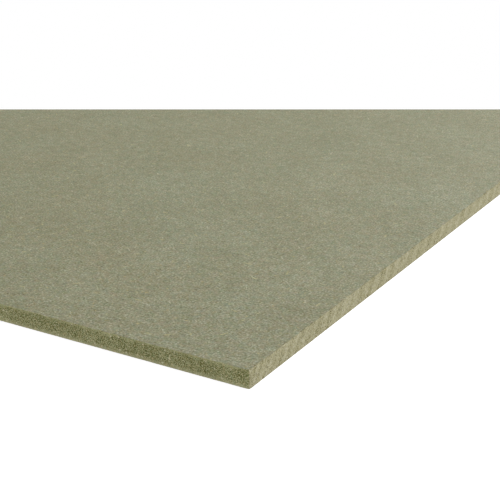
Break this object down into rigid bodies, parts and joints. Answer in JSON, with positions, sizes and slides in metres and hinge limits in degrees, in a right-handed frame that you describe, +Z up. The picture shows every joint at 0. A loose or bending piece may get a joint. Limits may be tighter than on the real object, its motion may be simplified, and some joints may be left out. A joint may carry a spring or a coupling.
{
  "type": "moisture-resistant medium-density fiberboard sheet",
  "caption": "Flat rectangular full sheet of green-dyed moisture-resistant fibreboard, sanded on both faces and sawn square on all edges, for cutting into panels and joinery.",
  "frame": {"origin": "middle of the underside, on the surface that the sheet lies on", "axes": "+X along the sheet's length, +Y along its width, +Z up through its thickness"},
  "size_m": [2.44, 1.22, 0.012],
  "materials": {
    "green_fibreboard": "matte"
  },
  "bodies": {
    "root": {"mdf_sheet": "green_fibreboard"}
  },
  "joints": []
}
